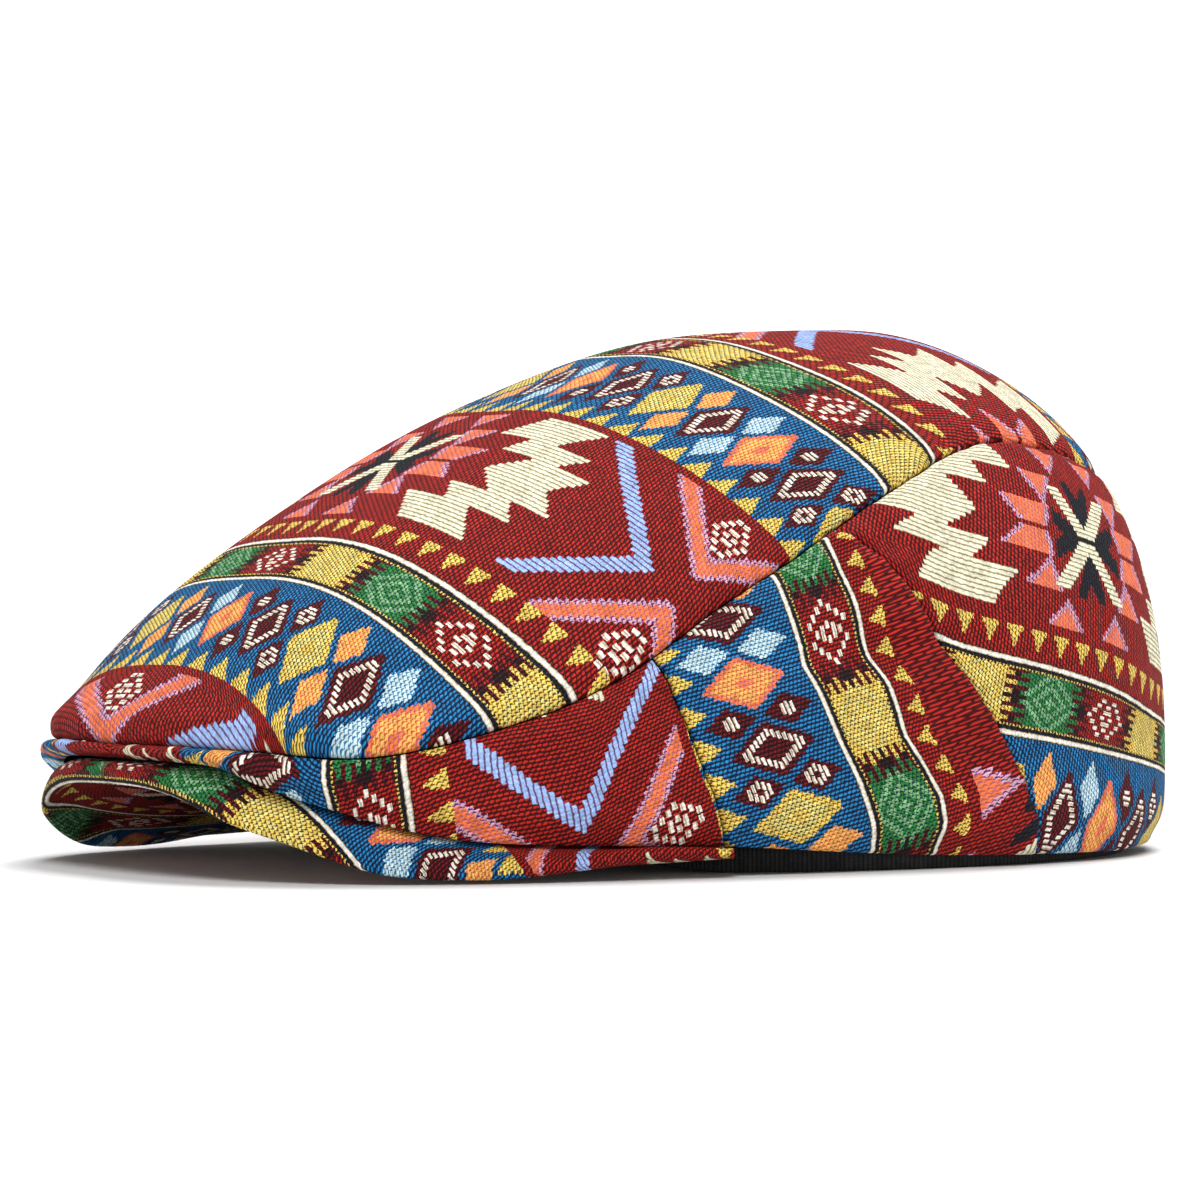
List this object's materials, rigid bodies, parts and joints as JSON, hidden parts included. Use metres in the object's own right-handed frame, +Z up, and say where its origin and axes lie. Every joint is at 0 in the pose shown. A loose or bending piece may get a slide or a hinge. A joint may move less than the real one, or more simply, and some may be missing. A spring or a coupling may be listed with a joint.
{
  "type": "flat cap",
  "caption": "Flat cap with a rounded crown of sewn panels, a short arched peak and an inner sweatband, in woven geometric patterned cloth.",
  "frame": {"origin": "centre of the cap's footprint on the surface that it rests on", "axes": "+Z up, the peak points to -Y, and the wearer's left is +X"},
  "size_m": [0.1874, 0.2681, 0.123],
  "materials": {
    "patterned_cloth": "thick jacquard weave, brick red, blue, mustard and cream geometric bands, matt",
    "black_band": "plain black twill tape, matt"
  },
  "bodies": {
    "root": {"crown_top": "patterned_cloth", "side_front_left": "patterned_cloth", "side_front_right": "patterned_cloth", "side_mid_left": "patterned_cloth", "side_mid_right": "patterned_cloth", "back_left": "patterned_cloth", "back_right": "patterned_cloth", "peak": "patterned_cloth", "sweatband": "black_band"}
  },
  "joints": []
}
